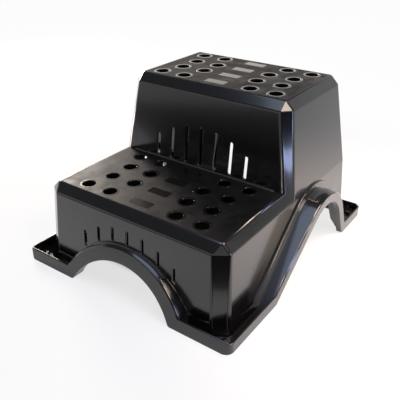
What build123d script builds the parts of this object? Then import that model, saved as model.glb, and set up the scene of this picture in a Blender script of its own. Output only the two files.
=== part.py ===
from build123d import *
import os
from collections import namedtuple
from math import cos, radians, sin, sqrt, tan

# Two-tread entry step for a caravan, moulded in one piece from black plastic.
# Millimetres, +Z up, the front faces -Y, the origin is on the ground under the middle of the footprint.

# Overall sizes
footprint_width = 530.0
footprint_depth = 620.0
step_height = 365.0
lower_height = 185.0
lower_tread_inset = 57.5    # from each side of the footprint in to the edge of the tread
upper_tread_inset = 85.0
tread_depth = 220.0

# Skin and walls
skin = 4.0                  # wall of the moulding
edge_round = 5.0            # radius of its edges inside; outside it is larger by the skin
bevel = 16.0                # run and drop of the slope round each tread, inside the skin
front_lean = 12.0           # run of the front wall from the ground up to its bevel
riser_lean = 17.0           # run of the upper riser from the lower tread up to its bevel
lower_corner_across = 26.0  # cut off the lower front corners, along X
lower_corner_back = 17.0    # and along Y
upper_corner_cut = 18.0     # cut off the other upright corners, both ways
corner_tip = 0.1            # share of a corner's cut that is left at the tread
cove = 5.0                  # slope in the angle between the lower tread and the riser

# Feet
foot_reach = 31.0           # from the ground line of the walls out to the face of the lip
foot_radius = 17.0
lip_height = 24.0
lip_edge = 1.4
flare_run = 8.0             # the walls spread by this much where they stand on the feet
flare_rise = 20.0
front_face_lean = 14.0      # degrees, the front lips and the front hood share a face that leans back
peg_inset = 21.0            # peg hole to the two outer faces of its foot
peg_boss_radius = 11.0
peg_boss_height = 10.0
peg_radius = 5.5

# Arches: feet of the opening along its wall, slope of its legs in degrees, radius of its crown
front_foot = 128.0
front_slope = 60.5
front_crown = 144.0
front_border_width = 2.0
front_border_proud = 2.0
side_front_foot = 136.0
side_front_slope = 36.0
side_rear_foot = 191.0
side_rear_slope = 65.0
side_crown = 89.0
side_border_width = 15.0
side_border_proud = 5.0
rear_foot = 152.0
rear_slope = 77.0
rear_crown = 124.0
front_band = 30.0           # height of the face round each opening
side_band = 23.0
rear_band = 26.0
hood_draft = 2.0            # angle at which a hood widens towards its wall
hood_edge = 3.5
return_depth = 13.0         # flange turned in round an opening
front_return_depth = 28.0
leg_round = 8.0             # where an opening meets the ground

# Drain holes in the treads
hole_radius = 14.4
hole_rows = 4
hole_row_pitch = 55.0
hole_pitch = 60.0
hole_start = 68.5           # inner hole of a middle row, from the centre line
hole_shift = 16.0           # the first and last rows stand this much further out

# Slots in the risers
slot_pitch = 38.5
slots_each_side = 3
slot_width = 7.4
slot_arc = 200.0            # the tops of a row of slots follow this arc
upper_slot_foot = 6.0       # above the lower tread
upper_slot_length = 86.0
lower_slot_foot = 1.0       # above the border of the front arch
lower_slot_length = 31.0

# Ribs under the treads
rib = 3.0
rib_depth = 26.0
rib_near = 42.0             # from the centre line
rib_far = 106.5
rib_outer = 162.0

# Levels of the space inside the skin
below_ground = -10.0
edge_pull = skin * tan(radians(22.5))   # a rounded edge draws the flat of a tread in by this much
lower_top = lower_height - skin
upper_top = step_height - skin
lower_brow = lower_top - bevel
upper_brow = upper_top - bevel

# Its half widths
lower_top_half = footprint_width / 2 - lower_tread_inset - edge_pull
upper_top_half = footprint_width / 2 - upper_tread_inset - edge_pull
lower_brow_half = lower_top_half + bevel
upper_brow_half = upper_top_half + bevel
ground_half = footprint_width / 2 - foot_reach - skin

# Its places from front to rear
front_ground = -footprint_depth / 2 + foot_reach + skin
front_brow = front_ground + front_lean
front_top = front_brow + bevel
riser_foot = front_top - edge_pull + tread_depth + skin
riser_brow = riser_foot + riser_lean
upper_front_top = riser_brow + bevel
upper_rear_top = upper_front_top + tread_depth - 2 * edge_pull
rear_brow = upper_rear_top + bevel
rear_ground = footprint_depth / 2 - foot_reach - skin
lower_tread_middle = front_top - edge_pull + tread_depth / 2
upper_tread_middle = (upper_front_top + upper_rear_top) / 2
hood_depth = foot_reach + 2 * skin + rear_ground - rear_brow


# Place at height z on the straight line through two (height, place) pairs
def along(z, low, high):
    return low[1] + (z - low[0]) * (high[1] - low[1]) / (high[0] - low[0])


def side_wall(z):
    return along(z, (0, ground_half), (lower_brow, lower_brow_half))


def front_wall(z):
    return along(z, (0, front_ground), (lower_brow, front_brow))


def riser_wall(z):
    return along(z, (lower_height, riser_foot), (upper_brow, riser_brow))


def rear_wall(z):
    return along(z, (0, rear_ground), (upper_brow, rear_brow))


# The eight corners of one level of a block, anticlockwise from the front right
def ring(z, half, front, rear, front_cut, rear_cut):
    right = [
        (half - front_cut[0], front, z),
        (half, front + front_cut[1], z),
        (half, rear - rear_cut[1], z),
        (half - rear_cut[0], rear, z),
    ]
    left = [(-x, y, z) for x, y, z in reversed(right)]
    return right + left


# A solid with flat faces from each ring of corners to the next one up, each face moved in by edge_round
def block(*rings):
    bottom = rings[0][0][2]
    top = rings[-1][0][2] - edge_round
    solid = Pos(0, 0, (bottom + top) / 2) * Box(2 * footprint_width, 2 * footprint_depth, top - bottom)
    for low, high in zip(rings, rings[1:]):
        for index, corner in enumerate(low):
            across = Vector(*corner) - Vector(*low[index - 1])
            upwards = Vector(*high[index]) - Vector(*corner)
            face = Plane(origin=corner, z_dir=across.cross(upwards)).offset(-edge_round)
            solid = split(solid, bisect_by=face, keep=Keep.BOTTOM)
    return solid


# A block brought back to its own faces and out by thickness, with round edges
def rounded(solid, thickness):
    return offset(solid, amount=edge_round + thickness, kind=Kind.ARC)


# The space inside: the lower storey, the upper one behind it, the flared foot of the walls and the cove
lower_cut = (lower_corner_across, lower_corner_back)
upper_cut = (upper_corner_cut, upper_corner_cut)
lower_tip = (corner_tip * lower_corner_across, corner_tip * lower_corner_back)
upper_tip = (corner_tip * upper_corner_cut, corner_tip * upper_corner_cut)
hidden_rear = riser_foot + tread_depth / 2      # the lower blocks end inside the upper storey
hidden_cut = (tread_depth / 4, tread_depth / 4)

lower_block = block(
    ring(below_ground, side_wall(below_ground), front_wall(below_ground), hidden_rear, lower_cut, hidden_cut),
    ring(lower_brow, lower_brow_half, front_brow, hidden_rear, lower_cut, hidden_cut),
    ring(lower_top, lower_top_half, front_top, hidden_rear, lower_tip, hidden_cut),
)
upper_block = block(
    ring(
        below_ground, side_wall(below_ground), riser_wall(below_ground), rear_wall(below_ground),
        upper_cut, upper_cut,
    ),
    ring(lower_brow, lower_brow_half, riser_wall(lower_brow), rear_wall(lower_brow), upper_cut, upper_cut),
    ring(upper_brow, upper_brow_half, riser_brow, rear_brow, upper_cut, upper_cut),
    ring(upper_top, upper_top_half, upper_front_top, upper_rear_top, upper_tip, upper_tip),
)
flare_top = skin + flare_rise
flare_end = flare_top + 2 * edge_round          # the slope runs on into the walls
flare_half = (skin, side_wall(skin) + flare_run), (flare_top, side_wall(flare_top))
flare_front = (skin, front_wall(skin) - flare_run), (flare_top, front_wall(flare_top))
flare_rear = (skin, rear_wall(skin) + flare_run), (flare_top, rear_wall(flare_top))
flare_block = block(*[
    ring(z, along(at, *flare_half), along(at, *flare_front), along(at, *flare_rear), lower_cut, upper_cut)
    for z, at in ((below_ground, skin), (skin, skin), (flare_end, flare_end))
])
cove_half = lower_top_half - edge_round
cove_top = lower_top + cove + edge_round
cove_block = block(
    ring(lower_brow, cove_half, riser_wall(lower_brow) - cove, hidden_rear, upper_cut, hidden_cut),
    ring(lower_top, cove_half, riser_wall(lower_top) - cove, hidden_rear, upper_cut, hidden_cut),
    ring(cove_top, cove_half, riser_wall(cove_top) + edge_round, hidden_rear, upper_cut, hidden_cut),
)
blocks = [lower_block, upper_block, flare_block, cove_block]
lower_space = rounded(lower_block, 0)
upper_space = rounded(upper_block, 0)
clearance = lower_space + upper_space + rounded(flare_block, 0) + rounded(cove_block, 0)

# The outside of the walls and treads
shell = Part() + [rounded(solid, skin) for solid in blocks]

# Foot trays: a floor on the ground with an upright lip round it
tray_outline = RectangleRounded(footprint_width, footprint_depth, foot_radius)
tray_inside = RectangleRounded(footprint_width - 2 * skin, footprint_depth - 2 * skin, foot_radius - skin)
front_face = Plane(
    origin=(0, -footprint_depth / 2, 0), x_dir=(1, 0, 0),
    z_dir=(0, -cos(radians(front_face_lean)), sin(radians(front_face_lean))),
)
trays = split(extrude(tray_outline, lip_height), bisect_by=front_face, keep=Keep.BOTTOM)
tray_space = Pos(0, 0, skin) * extrude(tray_inside, lip_height)
trays -= split(tray_space, bisect_by=front_face.offset(-skin), keep=Keep.BOTTOM)
shell += chamfer(trays.edges().group_by(Axis.Z)[-1], lip_edge)

# The arches, each drawn on the plane of its hood's face
Arch = namedtuple(
    "Arch", "face left left_slope right right_slope crown band border_width border_proud return_depth"
)
front_arch = Arch(
    Plane(origin=(0, -footprint_depth / 2, 0), x_dir=(1, 0, 0), z_dir=(0, -1, 0)),
    -front_foot, front_slope, front_foot, front_slope, front_crown,
    front_band, front_border_width, front_border_proud, front_return_depth,
)
side_arch = Arch(
    Plane(origin=(footprint_width / 2, 0, 0), x_dir=(0, 1, 0), z_dir=(1, 0, 0)),
    -side_front_foot, side_front_slope, side_rear_foot, side_rear_slope, side_crown,
    side_band, side_border_width, side_border_proud, return_depth,
)
rear_arch = Arch(
    Plane(origin=(0, footprint_depth / 2, 0), x_dir=(-1, 0, 0), z_dir=(0, 1, 0)),
    -rear_foot, rear_slope, rear_foot, rear_slope, rear_crown,
    rear_band, front_border_width, front_border_proud, return_depth,
)


def border_grow(arch):
    return arch.band + foot_reach * tan(radians(hood_draft)) + arch.border_width


# Two straight legs and a round crown, spread outwards by grow
def arch_profile(arch, grow):
    left = arch.left - grow / sin(radians(arch.left_slope))
    right = arch.right + grow / sin(radians(arch.right_slope))
    left_rise = tan(radians(arch.left_slope))
    right_rise = tan(radians(arch.right_slope))
    apex = left + (right - left) * right_rise / (left_rise + right_rise)
    outline = make_face(Polyline((left, 0), (apex, (apex - left) * left_rise), (right, 0), close=True))
    return fillet(outline.vertices().sort_by(Axis.Y)[-1], arch.crown + grow)


# The opening, with its feet rounded out where they meet the ground
def arch_opening(arch):
    span = arch.right - arch.left
    middle = (arch.right + arch.left) / 2
    apron = Pos(middle, below_ground / 2) * Rectangle(span + 8 * leg_round, -below_ground)
    outline = arch_profile(arch, 0) + apron
    on_ground = outline.vertices().filter_by_position(Axis.Y, below_ground / 2, -below_ground / 2)
    return fillet(on_ground.sort_by(Axis.X)[1:-1], leg_round)


# A hood over the opening, with its front edge rounded and a border where it joins the wall
def arch_hood(arch):
    inwards = -arch.face.z_dir
    hood = extrude(arch.face * arch_profile(arch, arch.band), hood_depth, dir=inwards, taper=-hood_draft)
    hood = split(hood, bisect_by=front_face, keep=Keep.BOTTOM)
    front = hood.faces().sort_by(Axis(arch.face.origin, arch.face.z_dir))[-1]
    hood = chamfer([edge for edge in front.edges() if edge.center().Z > skin], hood_edge)
    border = extrude(arch.face * arch_profile(arch, border_grow(arch)), hood_depth, dir=inwards)
    proud = skin + arch.border_proud
    return hood + (border & (rounded(lower_block, proud) + rounded(upper_block, proud)))


# The space under a hood, behind the flange that is turned in round the opening
def arch_space(arch):
    inwards = -arch.face.z_dir
    profile = arch_profile(arch, arch.band - skin)
    space = extrude(arch.face.offset(-skin) * profile, hood_depth, dir=inwards, taper=-hood_draft)
    space -= extrude(arch.face * arch_profile(arch, skin), arch.return_depth, dir=inwards)
    space = split(space, bisect_by=front_face.offset(-skin), keep=Keep.BOTTOM)
    return space + extrude(arch.face.offset(skin) * arch_opening(arch), hood_depth + skin, dir=inwards)


side_hood = arch_hood(side_arch)
side_space = arch_space(side_arch)
shell += arch_hood(front_arch) + arch_hood(rear_arch) + side_hood + mirror(side_hood, about=Plane.YZ)
clearance += arch_space(front_arch) + arch_space(rear_arch) + side_space + mirror(side_space, about=Plane.YZ)
shell -= clearance
shell = split(shell, bisect_by=Plane.XY, keep=Keep.TOP)


# Ribs under one tread: across it between the rows of holes, and along it between the holes
def tread_ribs(storey, top, front, middle, rear):
    level = top - rib_depth / 2
    across = [
        Pos(0, middle + (row - hole_rows / 2) * hole_row_pitch, level) * Box(footprint_width, rib, rib_depth)
        for row in range(1, hole_rows)
    ]
    lengthwise = [
        Pos(x, (front + rear) / 2, level) * Box(rib, rear - front, rib_depth)
        for x in (-rib_outer, -rib_far, -rib_near, rib_near, rib_far, rib_outer)
    ]
    return storey & (Part() + across + lengthwise)


shell += tread_ribs(lower_space, lower_top, front_brow, lower_tread_middle, riser_foot)
shell += tread_ribs(upper_space, upper_top, riser_brow, upper_tread_middle, rear_brow)


# Holes through one tread, in staggered rows on both sides of its middle
def tread_holes(middle, top):
    holes = []
    for row in range(hole_rows):
        y = middle + (row - (hole_rows - 1) / 2) * hole_row_pitch
        first = hole_start + (hole_shift if row in (0, hole_rows - 1) else 0)
        for x in (-first - hole_pitch, -first, first, first + hole_pitch):
            holes.append(Pos(x, y, top) * Cylinder(hole_radius, 3 * skin))
    return holes


shell -= tread_holes(lower_tread_middle, lower_top)
shell -= tread_holes(upper_tread_middle, upper_top)


# One upright slot with round ends, through a wall that stands at y
def riser_slot(x, y, foot, top):
    outline = Pos(x, (foot + top) / 2) * SlotOverall(top - foot, slot_width, rotation=90)
    return extrude(Plane.XZ.offset(-y) * outline, foot_reach, both=True)


def arc_drop(x, radius):
    return radius - sqrt(radius**2 - x**2)


border_radius = front_crown + border_grow(front_arch)
border_top = front_foot * tan(radians(front_slope)) - front_crown / cos(radians(front_slope)) + border_radius
lower_slot_top = border_top + lower_slot_foot + lower_slot_length
upper_slot_top = lower_height + upper_slot_foot + upper_slot_length
for number in range(-slots_each_side, slots_each_side + 1):
    x = number * slot_pitch
    drop = arc_drop(x, slot_arc)
    lower_foot = border_top + lower_slot_foot - arc_drop(x, border_radius)
    shell -= riser_slot(x, front_wall(lower_foot), lower_foot, lower_slot_top - drop)
    shell -= riser_slot(x, riser_wall(lower_height), lower_height + upper_slot_foot, upper_slot_top - drop)

# A boss with a hole for a ground peg in the corner of each foot
peg_x = footprint_width / 2 - peg_inset
peg_y = footprint_depth / 2 - peg_inset
pegs = GridLocations(2 * peg_x, 2 * peg_y, 2, 2)
upright = (Align.CENTER, Align.CENTER, Align.MIN)
shell += pegs * Cylinder(peg_boss_radius, peg_boss_height, align=upright)
shell -= pegs * Cylinder(peg_radius, peg_boss_height, align=upright)

step_moulding = shell.solid()

os.makedirs("parts", exist_ok=True)
export_step(step_moulding, "parts/step_moulding.step")
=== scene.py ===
import math

import bmesh
import bpy
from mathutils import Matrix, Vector


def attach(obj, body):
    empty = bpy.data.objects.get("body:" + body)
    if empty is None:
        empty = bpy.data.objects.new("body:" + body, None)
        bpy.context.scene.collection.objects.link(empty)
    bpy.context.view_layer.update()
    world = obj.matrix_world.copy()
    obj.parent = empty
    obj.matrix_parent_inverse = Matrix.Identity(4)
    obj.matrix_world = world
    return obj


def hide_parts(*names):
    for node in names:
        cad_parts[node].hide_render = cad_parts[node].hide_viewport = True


mm = 0.001
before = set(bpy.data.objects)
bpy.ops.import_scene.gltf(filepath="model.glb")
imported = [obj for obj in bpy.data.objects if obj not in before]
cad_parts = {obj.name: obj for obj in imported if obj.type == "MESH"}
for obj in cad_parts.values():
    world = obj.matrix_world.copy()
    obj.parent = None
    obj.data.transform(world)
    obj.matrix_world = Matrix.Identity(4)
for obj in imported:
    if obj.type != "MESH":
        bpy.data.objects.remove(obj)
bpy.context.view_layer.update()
scene = bpy.context.scene
scene.view_settings.view_transform = "Standard"


# sRGB hex to the linear colour that Blender's sockets take
def linear(hexCode):
    channels = [int(hexCode[i:i + 2], 16) / 255 for i in (1, 3, 5)]
    return (*[c / 12.92 if c <= 0.04045 else ((c + 0.055) / 1.055) ** 2.4 for c in channels], 1.0)


# adds a node, with settings by attribute name and inputs by socket name or number;
# an input that is an output socket is linked, anything else becomes its value
def addNode(tree, kind, settings=None, inputs=None):
    node = tree.nodes.new(kind)
    for name, value in (settings or {}).items():
        setattr(node, name, value)
    for name, value in (inputs or {}).items():
        if isinstance(value, bpy.types.NodeSocket):
            tree.links.new(value, node.inputs[name])
        else:
            node.inputs[name].default_value = value
    return node


def newMaterial(name):
    material = bpy.data.materials.new(name)
    material.use_nodes = True
    material.node_tree.nodes.clear()
    return material, material.node_tree


def finishMaterial(tree, shader):
    addNode(tree, "ShaderNodeOutputMaterial", inputs={"Surface": shader})


def addObject(name, mesh):
    piece = bpy.data.objects.new(name, mesh)
    scene.collection.objects.link(piece)
    return piece


# What a finish may set on the plastic's shader, and the socket that takes it
finishSockets = {
    "roughness": "Roughness",
    "ior": "IOR",
    "specular": "Specular IOR Level",
    "coat": "Coat Weight",
    "coatRoughness": "Coat Roughness",
}


# ends the material of a plastic; linked holds the sockets that its patterns drive
def finishPlastic(tree, finish, linked=None):
    inputs = {"Base Color": linear(finish["colour"]), **(linked or {})}
    for name, socket in finishSockets.items():
        if name in finish:
            inputs[socket] = finish[name]
    shader = addNode(tree, "ShaderNodeBsdfPrincipled", inputs=inputs)
    finishMaterial(tree, shader.outputs["BSDF"])


# Polypropylene, moulded against a polished steel tool: black, with a skin glossy enough to mirror
# the floor, and a faint waviness where it shrank on cooling
glossPlastic = {
    "colour": "#0e0d0d",
    "roughness": 0.2,
    "ior": 1.5,
    "coat": 0.5,
    "coatRoughness": 0.1,
    "waveSize": 70,      # mm from crest to crest
    "waveHeight": 0.06,  # mm
    "waveDetail": 1.0,
}


def makeGlossPlastic():
    s = glossPlastic
    material, tree = newMaterial("mouldedPolypropyleneGloss")
    place = addNode(tree, "ShaderNodeTexCoord").outputs["Object"]
    waves = addNode(tree, "ShaderNodeTexNoise", inputs={
        "Vector": place, "Scale": 1 / (s["waveSize"] * mm), "Detail": s["waveDetail"]})
    bump = addNode(tree, "ShaderNodeBump", inputs={
        "Height": waves.outputs["Fac"], "Strength": 1.0, "Distance": s["waveHeight"] * mm})
    finishPlastic(tree, glossPlastic, {"Normal": bump.outputs["Normal"]})
    return material


# The same plastic against an etched part of the tool: a fine pebble grain that scatters the light
grainPlastic = {
    "colour": "#0b0a09",
    "ior": 1.5,
    "specular": 0.18,
    "grainSize": 3.5,                # mm, drawn coarser than it really is so that it shows
    "grainHeight": 0.3,              # mm
    "grainStrength": 0.6,
    "wearSize": 35,                  # mm
    "wearDetail": 4.0,
    "wearRoughness": 0.6,            # of the noise, how much its finer patches count
    "wearRange": (0.35, 0.65),       # of the noise, from rubbed by shoes to as moulded
    "skinRoughness": (0.4, 0.62),    # of the plastic at the two ends of that range
}


def makeGrainPlastic():
    s = grainPlastic
    material, tree = newMaterial("etchedPolypropyleneGrain")
    place = addNode(tree, "ShaderNodeTexCoord").outputs["Object"]
    pebbles = addNode(tree, "ShaderNodeTexVoronoi", settings={"feature": "SMOOTH_F1"}, inputs={
        "Vector": place, "Scale": 1 / (s["grainSize"] * mm)})
    bump = addNode(tree, "ShaderNodeBump", inputs={
        "Height": pebbles.outputs["Distance"], "Strength": s["grainStrength"],
        "Distance": s["grainHeight"] * mm})
    wear = addNode(tree, "ShaderNodeTexNoise", inputs={
        "Vector": place, "Scale": 1 / (s["wearSize"] * mm), "Detail": s["wearDetail"],
        "Roughness": s["wearRoughness"]})
    rubbed = addNode(tree, "ShaderNodeMapRange", inputs={
        "Value": wear.outputs["Fac"], "From Min": s["wearRange"][0], "From Max": s["wearRange"][1],
        "To Min": s["skinRoughness"][0], "To Max": s["skinRoughness"][1]})
    finishPlastic(tree, grainPlastic, {
        "Roughness": rubbed.outputs["Result"], "Normal": bump.outputs["Normal"]})
    return material


# Smooth lands on the treads, where the tool is polished again
landPlastic = {"colour": "#0d0c0b", "roughness": 0.22, "ior": 1.5, "coat": 0.3, "coatRoughness": 0.2}

# The core side of the tool is left as machined: a dull skin on the ribs and in the holes, with a darker
# colour as painted shade in them
coreShadedPlastic = {"colour": "#070707", "roughness": 0.7, "ior": 1.5, "specular": 0.1}


def makePlainPlastic(name, finish):
    material, tree = newMaterial(name)
    finishPlastic(tree, finish)
    return material


gloss = makeGlossPlastic()
grain = makeGrainPlastic()
land = makePlainPlastic("polishedPolypropyleneLand", landPlastic)
# core: a dull core skin, made darker as painted shade in the holes and under the treads
core = makePlainPlastic("machinedCoreWithPaintedShade", coreShadedPlastic)
print("materials made")

# The moulding: a merged copy of the solid, so that its small chamfers shade as roundings, with the
# rims of its holes, slots and arches eased
moulding = {
    "mergeGap": 0.01,      # mm
    "flatAngle": 0.2,      # degrees, faces this close to one plane are joined
    "sharpAngle": 32,      # degrees, edges over this stay sharp
    "rimAngle": 62,        # degrees, the least turn at the rim of an opening
    "rimFoot": 40,         # mm above the ground, where the rims of the arches start
    "upright": 0.99,       # of a normal along Z, the least on a tread
    "outward": 0.94,       # of a normal along X or Y, the least on a wall
    "treadAreas": (        # mm, height, half width, front and rear
        (185, 207.5, -248.7, -28.7),
        (365, 180, 6.7, 226.7),
    ),
    "levelSlack": 0.3,     # mm
    "coreDepth": 30,       # mm under a tread, with the ribs and the walls of the holes
    "coreReach": 8,        # mm in from the edge of a tread, clear of its walls
    "rimEase": 0.8,        # mm
    "slotEase": 1.6,       # mm, at the slots in the upper riser
    "easeSteps": 2,
    "faceWeight": 100,     # how far large faces lead the normals at rounded edges
}
treadLevels = [area[0] for area in moulding["treadAreas"]]


# edges where the outside turns sharply into an opening or a border: round the holes in the treads and
# the arches, or else round the slots in the upper riser
def rimEdges(shape, riserSlots):
    s = moulding
    rims = []
    for edge in shape.edges:
        if len(edge.link_faces) != 2 or not edge.is_convex:
            continue
        if edge.calc_face_angle() < math.radians(s["rimAngle"]):
            continue
        normals = [face.normal for face in edge.link_faces]
        middle = (edge.verts[0].co + edge.verts[1].co) / 2
        height = middle.z / mm
        onTread = any(n.z > s["upright"] for n in normals) and any(
            abs(height - level) < s["levelSlack"] for level in treadLevels)
        onWall = height > s["rimFoot"] and any(
            n.x * middle.x > s["outward"] * abs(middle.x) or n.y * middle.y > s["outward"] * abs(middle.y)
            for n in normals)
        onRiser = not onTread and height > treadLevels[0] and any(n.y < -s["outward"] for n in normals)
        if (onTread or onWall) and onRiser == riserSlots:
            rims.append(edge)
    return rims


# the number of a face's material: 0 for the polished outside, 1 for the etched treads, 2 for what lies
# close under them, where a darker plastic paints shade into the holes and between the ribs
def toolSide(face):
    s = moulding
    x, y, z = face.calc_center_median() / mm
    for level, half, front, rear in s["treadAreas"]:
        if abs(z - level) < s["levelSlack"] and face.normal.z > s["upright"]:
            return 1
        inside = abs(x) < half - s["coreReach"] and front + s["coreReach"] < y < rear - s["coreReach"]
        if inside and level - s["coreDepth"] < z < level - s["rimEase"]:
            return 2
    return 0


def makeMoulding():
    s = moulding
    shape = bmesh.new()
    shape.from_mesh(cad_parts["step_moulding"].data)
    bmesh.ops.remove_doubles(shape, verts=shape.verts, dist=s["mergeGap"] * mm)
    bmesh.ops.dissolve_limit(
        shape, angle_limit=math.radians(s["flatAngle"]), use_dissolve_boundaries=False,
        verts=shape.verts, edges=shape.edges)
    for riserSlots, ease in ((True, s["slotEase"]), (False, s["rimEase"])):
        rims = rimEdges(shape, riserSlots)
        bmesh.ops.bevel(
            shape, geom=rims, offset=ease * mm, segments=s["easeSteps"], profile=0.5, affect="EDGES",
            clamp_overlap=False)
        print(len(rims), "rim edges eased by", ease, "mm")
    for face in shape.faces:
        face.smooth = True
        face.material_index = toolSide(face)
    mesh = bpy.data.meshes.new("stepMoulding")
    shape.to_mesh(mesh)
    shape.free()
    mesh.set_sharp_from_angle(angle=math.radians(s["sharpAngle"]))
    for material in (gloss, grain, core):
        mesh.materials.append(material)
    piece = addObject("stepMoulding", mesh)
    weighted = piece.modifiers.new("weightedNormals", "WEIGHTED_NORMAL")
    weighted.mode = "FACE_AREA"
    weighted.weight = s["faceWeight"]
    weighted.keep_sharp = True
    return piece


# turns a piece with modifiers into one with a plain mesh
def applyModifiers(piece):
    graph = bpy.context.evaluated_depsgraph_get()
    mesh = bpy.data.meshes.new_from_object(
        piece.evaluated_get(graph), preserve_all_data_layers=True, depsgraph=graph)
    piece.modifiers.clear()
    piece.data = mesh
    mesh.name = piece.name


stepMoulding = makeMoulding()
applyModifiers(stepMoulding)
print("moulding made,", len(stepMoulding.data.polygons), "faces")

# Where the drain holes and the smooth pads are on the two treads, in mm
treads = {
    "levels": {"lower": (-138.66, 185), "upper": (116.69, 365)},   # middle along Y, height
    "rows": 4,
    "rowPitch": 55,
    "holePitch": 60,
    "holeStart": 68.5,
    "holeShift": 16,       # outwards, in the first and the last row
}


def rowPlaces():
    s = treads
    for middle, level in s["levels"].values():
        for row in range(s["rows"]):
            yield row, middle + (row - (s["rows"] - 1) / 2) * s["rowPitch"], level


def holePlaces():
    s = treads
    places = []
    for row, y, z in rowPlaces():
        first = s["holeStart"] + (s["holeShift"] if row in (0, s["rows"] - 1) else 0)
        for x in (-first - s["holePitch"], -first, first, first + s["holePitch"]):
            places.append((x * mm, y * mm, z * mm))
    return places


def padPlaces():
    return [(0, y * mm, z * mm) for row, y, z in rowPlaces()]


# starts a Geometry Nodes tree with a geometry input, named sizes in mm and a geometry output
def newTree(name, sizes):
    tree = bpy.data.node_groups.new(name, "GeometryNodeTree")
    tree.interface.new_socket("Geometry", in_out="INPUT", socket_type="NodeSocketGeometry")
    for sizeName, value in sizes.items():
        socket = tree.interface.new_socket(sizeName, in_out="INPUT", socket_type="NodeSocketFloat")
        socket.default_value = value * mm
    tree.interface.new_socket("Geometry", in_out="OUTPUT", socket_type="NodeSocketGeometry")
    return tree, addNode(tree, "NodeGroupInput")


# puts the finished shape on every point of the input, as real geometry with its material
def finishTree(tree, points, shape, material):
    spread = addNode(tree, "GeometryNodeInstanceOnPoints", inputs={"Points": points, "Instance": shape})
    real = addNode(tree, "GeometryNodeRealizeInstances", inputs={"Geometry": spread.outputs["Instances"]})
    dressed = addNode(tree, "GeometryNodeSetMaterial", inputs={
        "Geometry": real.outputs["Geometry"], "Material": material})
    addNode(tree, "NodeGroupOutput", inputs={"Geometry": dressed.outputs["Geometry"]})


landSharpAngle = 40    # degrees, edges of the rings and pads over this stay sharp


def runTree(name, tree, places, sizes):
    mesh = bpy.data.meshes.new(name)
    mesh.from_pydata(places, [], [])
    piece = addObject(name, mesh)
    modifier = piece.modifiers.new(name, "NODES")
    modifier.node_group = tree
    for item in tree.interface.items_tree:
        if item.in_out == "INPUT" and item.name in sizes:
            modifier[item.identifier] = sizes[item.name] * mm
    applyModifiers(piece)
    piece.data.shade_smooth()
    piece.data.set_sharp_from_angle(angle=math.radians(landSharpAngle))
    return piece


# Smooth raised ring round each drain hole, half sunk in the tread
ringSizes = {"Ring radius": 17.0, "Ring width": 4.6, "Ring height": 0.3, "Edge radius": 0.12}
ringSteps = 48


def makeHoleRings():
    tree, sizes = newTree("holeRingTree", ringSizes)
    path = addNode(tree, "GeometryNodeCurvePrimitiveCircle", inputs={
        "Resolution": ringSteps, "Radius": sizes.outputs["Ring radius"]})
    section = addNode(tree, "GeometryNodeCurvePrimitiveQuadrilateral", inputs={
        "Width": sizes.outputs["Ring width"], "Height": sizes.outputs["Ring height"]})
    softened = addNode(tree, "GeometryNodeFilletCurve", inputs={
        "Curve": section.outputs["Curve"], "Radius": sizes.outputs["Edge radius"]})
    swept = addNode(tree, "GeometryNodeCurveToMesh", inputs={
        "Curve": path.outputs["Curve"], "Profile Curve": softened.outputs["Curve"]})
    finishTree(tree, sizes.outputs["Geometry"], swept.outputs["Mesh"], land)
    return runTree("holeRings", tree, holePlaces(), ringSizes)


# Smooth pads along the middle of each tread
padSizes = {"Pad length": 50, "Pad width": 22, "Pad height": 0.15, "Corner radius": 1.5}
padCornerSteps = 4


def makeTreadPads():
    tree, sizes = newTree("treadPadTree", padSizes)
    outline = addNode(tree, "GeometryNodeCurvePrimitiveQuadrilateral", inputs={
        "Width": sizes.outputs["Pad length"], "Height": sizes.outputs["Pad width"]})
    softened = addNode(tree, "GeometryNodeFilletCurve", settings={"mode": "POLY"}, inputs={
        "Curve": outline.outputs["Curve"], "Count": padCornerSteps,
        "Radius": sizes.outputs["Corner radius"]})
    flat = addNode(tree, "GeometryNodeFillCurve", settings={"mode": "NGONS"}, inputs={
        "Curve": softened.outputs["Curve"]})
    raised = addNode(tree, "GeometryNodeExtrudeMesh", inputs={
        "Mesh": flat.outputs["Mesh"], "Offset Scale": sizes.outputs["Pad height"], "Individual": False})
    finishTree(tree, sizes.outputs["Geometry"], raised.outputs["Mesh"], land)
    return runTree("treadPads", tree, padPlaces(), padSizes)


holeRings = makeHoleRings()
treadPads = makeTreadPads()
print("tread lands made")

for piece in (stepMoulding, holeRings, treadPads):
    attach(piece, "root")
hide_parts("step_moulding")

# The camera, from the photograph's viewing angle
view = {
    "place": (628.1, -906.6, 701.5),   # mm
    "azimuth": 35.46,                  # degrees
    "elevation": 28.93,
    "focalPixels": 541.3,
    "photoPixels": 400,
    "sensorWidth": 36,                 # mm
}


def makeCamera():
    s = view
    camera = bpy.data.objects.new("camera", bpy.data.cameras.new("camera"))
    scene.collection.objects.link(camera)
    azimuth, elevation = math.radians(s["azimuth"]), math.radians(s["elevation"])
    forward = Vector((
        -math.sin(azimuth) * math.cos(elevation),
        math.cos(azimuth) * math.cos(elevation),
        -math.sin(elevation)))
    camera.location = Vector(s["place"]) * mm
    camera.rotation_euler = forward.to_track_quat("-Z", "Y").to_euler()
    camera.data.sensor_width = s["sensorWidth"]
    camera.data.lens = s["focalPixels"] / s["photoPixels"] * s["sensorWidth"]
    scene.camera = camera


makeCamera()

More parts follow.
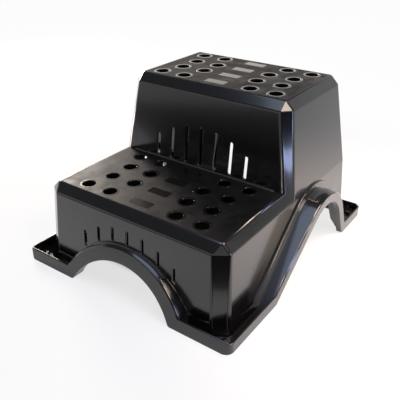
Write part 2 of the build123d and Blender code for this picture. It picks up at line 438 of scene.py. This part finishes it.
# Stage: soft light and a round sweep of white paper, with a dark patch painted under the step, since
# the plain white would show through its holes; lengths in m
stage = {
    "paperColour": "#f7f5f2",
    "shadeColour": "#0c0b0b",
    "shadeMiddle": (-0.07, 0.035),  # of the dark patch
    "shadeInner": (0.165, 0.225),   # half sizes, where the patch is full and where it ends
    "shadeOuter": (0.192, 0.262),
    "floorRadius": 5.0,
    "bendRadius": 1.2,
    "bendSteps": 8,
    "wallHeight": 3.4,
    "aroundSteps": 64,
    "nearShare": 0.72,              # of plain white in the paper close to the step and far from it
    "farShare": 0.97,
    "nearRadius": 0.45,
    "farRadius": 1.1,
    "glossShare": 0.62,             # of that white in reflections
    # of the cards that paint dark reflections into the plastic
    "darkReflectionColour": "#0b0b0c",
    "skyColour": "#e4eaf6",
    "skyStrength": 0.18,
}


def makePaper():
    s = stage
    material, tree = newMaterial("paperSweep")
    place = addNode(tree, "ShaderNodeTexCoord").outputs["Object"]
    fromMiddle = addNode(tree, "ShaderNodeVectorMath", settings={"operation": "SUBTRACT"}, inputs={
        0: place, 1: (*s["shadeMiddle"], 0)})
    reach = addNode(tree, "ShaderNodeVectorMath", settings={"operation": "ABSOLUTE"}, inputs={
        0: fromMiddle.outputs[0]})
    sides = addNode(tree, "ShaderNodeSeparateXYZ", inputs={0: reach.outputs[0]}).outputs
    shades = [
        addNode(tree, "ShaderNodeMapRange", settings={"interpolation_type": "SMOOTHSTEP"}, inputs={
            "Value": sides[axis], "From Min": s["shadeInner"][axis], "From Max": s["shadeOuter"][axis],
            "To Min": 1.0, "To Max": 0.0}).outputs[0]
        for axis in (0, 1)
    ]
    shade = addNode(tree, "ShaderNodeMath", settings={"operation": "MULTIPLY"}, inputs={
        0: shades[0], 1: shades[1]})
    # a colour mix takes its two colours at sockets 6 and 7 and gives the result at 2
    colour = addNode(tree, "ShaderNodeMix", settings={"data_type": "RGBA"}, inputs={
        "Factor": shade.outputs[0], 6: linear(s["paperColour"]), 7: linear(s["shadeColour"])})
    distance = addNode(tree, "ShaderNodeVectorMath", settings={"operation": "LENGTH"}, inputs={0: place})
    white = addNode(tree, "ShaderNodeMapRange", settings={"interpolation_type": "SMOOTHSTEP"}, inputs={
        "Value": distance.outputs["Value"], "From Min": s["nearRadius"], "From Max": s["farRadius"],
        "To Min": s["nearShare"], "To Max": s["farShare"]})
    unshaded = addNode(tree, "ShaderNodeMapRange", inputs={
        "Value": shade.outputs[0], "To Min": white.outputs[0], "To Max": 0.0})
    rays = addNode(tree, "ShaderNodeLightPath").outputs
    passed = addNode(tree, "ShaderNodeMath", settings={"operation": "MAXIMUM"}, inputs={
        0: rays["Is Glossy Ray"], 1: rays["Is Transmission Ray"]})
    seen = addNode(tree, "ShaderNodeMath", settings={"operation": "MULTIPLY_ADD"}, inputs={
        0: passed.outputs[0], 1: s["glossShare"], 2: rays["Is Camera Ray"]})
    share = addNode(tree, "ShaderNodeMath", settings={"operation": "MULTIPLY"}, inputs={
        0: seen.outputs[0], 1: unshaded.outputs[0]})
    lit = addNode(tree, "ShaderNodeBsdfDiffuse", inputs={"Color": colour.outputs[2]})
    plain = addNode(tree, "ShaderNodeEmission", inputs={"Color": (1, 1, 1, 1), "Strength": 1.0})
    mixed = addNode(tree, "ShaderNodeMixShader", inputs={
        0: share.outputs[0], 1: lit.outputs[0], 2: plain.outputs[0]})
    finishMaterial(tree, mixed.outputs[0])
    return material


# a disc of paper that bends up into a wall all round
def makeSweep():
    s = stage
    around = s["aroundSteps"]
    profile = [(s["floorRadius"], 0.0)]
    for step in range(1, s["bendSteps"] + 1):
        turn = math.radians(90 * step / s["bendSteps"])
        profile.append((
            s["floorRadius"] + s["bendRadius"] * math.sin(turn),
            s["bendRadius"] * (1 - math.cos(turn))))
    profile.append((s["floorRadius"] + s["bendRadius"], s["wallHeight"]))
    corners = []
    for radius, height in profile:
        for number in range(around):
            angle = 2 * math.pi * number / around
            corners.append((radius * math.cos(angle), radius * math.sin(angle), height))
    faces = [tuple(range(around))]
    for level in range(len(profile) - 1):
        for number in range(around):
            low, following = level * around + number, level * around + (number + 1) % around
            faces.append((low, low + around, following + around, following))
    mesh = bpy.data.meshes.new("paper")
    mesh.from_pydata(corners, [], faces)
    mesh.materials.append(makePaper())
    mesh.shade_smooth()
    addObject("paper", mesh)


makeSweep()


# the colour of the painted dark reflections
def makePaintedDarkReflection():
    material, tree = newMaterial("paintedDarkReflectionCard")
    shader = addNode(tree, "ShaderNodeBsdfDiffuse", inputs={"Color": linear(stage["darkReflectionColour"])})
    finishMaterial(tree, shader.outputs[0])
    return material


# a dark card with one face, which shows only in reflections: a painted dark reflection, unseen by the
# camera and casting no shadow
def addCard(name, corners):
    mesh = bpy.data.meshes.new(name)
    mesh.from_pydata(corners, [], [tuple(range(len(corners)))])
    mesh.materials.append(makePaintedDarkReflection())
    card = addObject(name, mesh)
    card.visible_camera = False
    card.visible_diffuse = False
    card.visible_shadow = False


# A painted dark reflection of the floor in front, which the white paper there doesn't have, in m: its
# height, and its corners as distances ahead of the camera's foot and across
frontReflectionCard = {
    "height": 0.001,
    "corners": [(-1.2, -1.9), (-1.2, 2.2), (0.56, 2.2), (0.56, -0.6), (0.9, -0.8), (0.9, -1.9)],
}


def makeFrontCard():
    s = frontReflectionCard
    azimuth = math.radians(view["azimuth"])
    ahead = Vector((-math.sin(azimuth), math.cos(azimuth)))
    across = Vector((math.cos(azimuth), math.sin(azimuth)))
    foot = Vector(view["place"][:2]) * mm
    addCard("frontReflectionCard", [(*(foot + ahead * a + across * b), s["height"]) for a, b in s["corners"]])


makeFrontCard()

# A painted dark reflection, as of a dark side of the room, upright to the right of the camera, in m: its
# two ends on the floor and its height
sideReflectionCard = {"near": (2.6, -2.6), "far": (3.5, -0.5), "height": 1.6}


def makeSideCard():
    s = sideReflectionCard
    addCard("sideReflectionCard", [
        (*s["near"], 0), (*s["far"], 0), (*s["far"], s["height"]), (*s["near"], s["height"])])


makeSideCard()


def makeWorld():
    world = bpy.data.worlds.new("studio")
    scene.world = world
    world.use_nodes = True
    tree = world.node_tree
    tree.nodes.clear()
    sky = addNode(tree, "ShaderNodeBackground", inputs={
        "Color": linear(stage["skyColour"]), "Strength": stage["skyStrength"]})
    addNode(tree, "ShaderNodeOutputWorld", inputs={"Surface": sky.outputs[0]})


makeWorld()

# Places, aims and sizes in m, spreads in degrees
lamps = {
    "skyPanel": {
        "place": (-0.05, -0.45, 2.3), "aim": (-0.05, -0.45, 0.0), "size": (1.7, 1.5),
        "watts": 20, "colour": "#d0e0ff", "spread": 180},
    "keySoftbox": {
        "place": (1.3, -0.4, 1.6), "aim": (0.15, 0.0, 0.3), "size": (0.5, 0.5),
        "watts": 9, "colour": "#ffeedd", "spread": 180},
    "rearWindow": {
        "place": (-1.6, 1.9, 0.75), "aim": (0.0, 0.1, 0.3), "size": (3.0, 0.8),
        "watts": 7, "colour": "#ffeedd", "spread": 180},
    "sideStrip": {
        "place": (1.8, -0.2, 0.55), "aim": (0.2, -0.1, 0.2), "size": (0.3, 1.0),
        "watts": 10, "colour": "#b8caff", "spread": 180},
    "paperLamp": {
        "place": (0.85, 0.2, 1.1), "aim": (0.8, 0.2, 0.0), "size": (0.6, 0.6),
        "watts": 9, "colour": "#ffe8da", "spread": 80},
    "leftWindow": {
        "place": (-2.2, 0.95, 0.8), "aim": (-0.2, -0.1, 0.2), "size": (0.8, 0.9),
        "watts": 38, "colour": "#fff2e6", "spread": 120},
}


def makeLamps():
    for name, s in lamps.items():
        light = bpy.data.lights.new(name, "AREA")
        light.shape = "RECTANGLE"
        light.size, light.size_y = s["size"]
        light.energy = s["watts"]
        light.color = linear(s["colour"])[:3]
        light.spread = math.radians(s["spread"])
        lamp = bpy.data.objects.new(name, light)
        scene.collection.objects.link(lamp)
        lamp.location = s["place"]
        lamp.rotation_euler = (Vector(s["aim"]) - Vector(s["place"])).to_track_quat("-Z", "Y").to_euler()


makeLamps()
print("stage, lamps and camera made")
